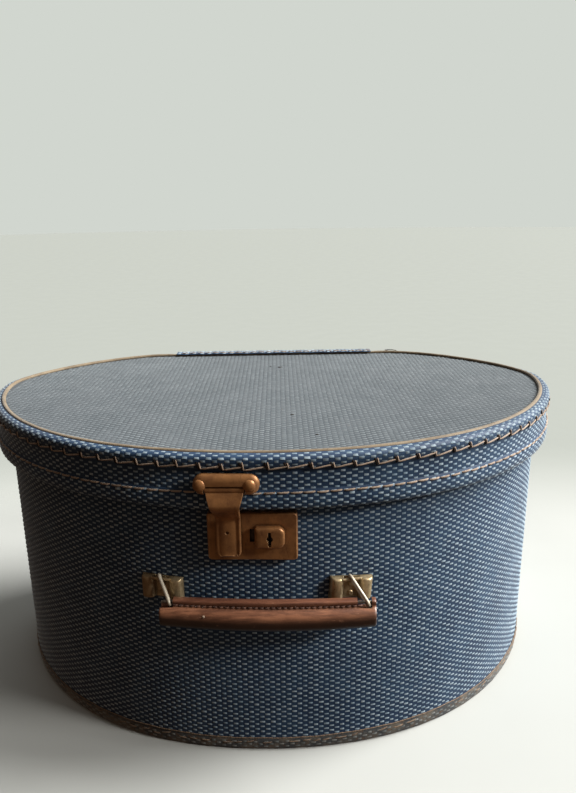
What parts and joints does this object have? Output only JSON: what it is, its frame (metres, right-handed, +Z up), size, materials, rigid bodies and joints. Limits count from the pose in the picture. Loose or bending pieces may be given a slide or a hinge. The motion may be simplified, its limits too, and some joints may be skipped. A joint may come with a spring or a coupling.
{
  "type": "hat box",
  "caption": "Oval hat box with a flat back, a hinged lid with a deep rim, a hasp lock with a sliding button, and a leather handle on wire links.",
  "frame": {"origin": "on the floor under the middle of the bounding box", "axes": "+X along the box's width to the right as seen from the front, +Y to the hinged flat back, the front with the lock faces -Y, +Z up"},
  "size_m": [0.45, 0.3046, 0.2212],
  "materials": {
    "covering": "dark blue coated cloth with rows of raised pale dashes",
    "welt": "tan cord, matt",
    "lining": "cream paper-backed cloth, matt",
    "board": "plain pulp board",
    "lock_metal": "bronze lacquer, half gloss, worn",
    "bracket_metal": "brassed, worn",
    "steel": "nickelled, worn",
    "grip_leather": "reddish brown, polished by use, stitched"
  },
  "bodies": {
    "case": {"body_wall": "covering", "base_board": "board", "base_binding": "covering", "base_lip": "covering", "case_lining": "lining", "floor_lining": "lining", "lock_cover": "lock_metal", "lock_base": "steel", "lock_spring": "steel", "lock_rivet_1": "steel", "lock_rivet_2": "steel", "lock_rivet_3": "steel", "lock_rivet_4": "steel", "left_hinge_lower_leaf": "steel", "left_hinge_pin": "steel", "left_lower_outer_rivet": "steel", "left_lower_inner_rivet": "steel", "left_bracket": "bracket_metal", "left_bracket_lower_rivet": "bracket_metal", "left_bracket_upper_rivet": "bracket_metal", "right_hinge_lower_leaf": "steel", "right_hinge_pin": "steel", "right_lower_outer_rivet": "steel", "right_lower_inner_rivet": "steel", "right_bracket": "bracket_metal", "right_bracket_lower_rivet": "bracket_metal", "right_bracket_upper_rivet": "bracket_metal"},
    "lid": {"lid_board": "covering", "lid_skirt": "covering", "lid_binding": "covering", "lid_welt": "welt", "lid_hem": "covering", "lid_lining": "lining", "lid_lining_band": "lining", "back_strip": "covering", "hasp_plate": "lock_metal", "hasp_pin": "steel", "hasp_left_rivet": "lock_metal", "hasp_right_rivet": "lock_metal", "left_hinge_upper_leaf": "steel", "left_upper_outer_rivet": "steel", "left_upper_inner_rivet": "steel", "right_hinge_upper_leaf": "steel", "right_upper_outer_rivet": "steel", "right_upper_inner_rivet": "steel"},
    "hasp": {"hasp_arm": "lock_metal", "hasp_staple": "steel"},
    "slide": {"lock_button": "lock_metal", "lock_bolt": "steel"},
    "key": {"key_barrel": "steel"},
    "handle_links": {"left_link": "steel", "right_link": "steel"},
    "grip": {"grip_cover": "grip_leather", "grip_core": "steel", "grip_left_pin": "steel", "grip_right_pin": "steel"}
  },
  "joints": [
    {"name": "lid_hinge", "type": "hinge", "parent": "case", "child": "lid", "pos_m": [0, 0.1502, 0.1825], "axis": [-1, 0, 0], "range_deg": [0, 105]},
    {"name": "hasp_hinge", "type": "hinge", "parent": "lid", "child": "hasp", "pos_m": [-0.02864, -0.14252, 0.1994], "axis": [-0.999, 0.0451, 0], "range_deg": [0, 68]},
    {"name": "lock_slide", "type": "slide", "parent": "case", "child": "slide", "axis": [0.999, -0.0451, 0], "range_m": [-0.004, 0]},
    {"name": "key_turn", "type": "hinge", "parent": "slide", "child": "key", "pos_m": [-0.00212, -0.1315, 0.1655], "axis": [-0.0451, -0.999, 0], "range_deg": [0, 90]},
    {"name": "handle_swing", "type": "hinge", "parent": "case", "child": "handle_links", "pos_m": [-0.07362, -0.12694, 0.1316], "axis": [-0.9991, 0.0427, 0], "range_deg": [0, 80]},
    {"name": "grip_tilt", "type": "hinge", "parent": "handle_links", "child": "grip", "pos_m": [-0.06721, -0.13692, 0.1209], "axis": [-0.9991, 0.0427, 0], "range_deg": [0, 40]}
  ]
}
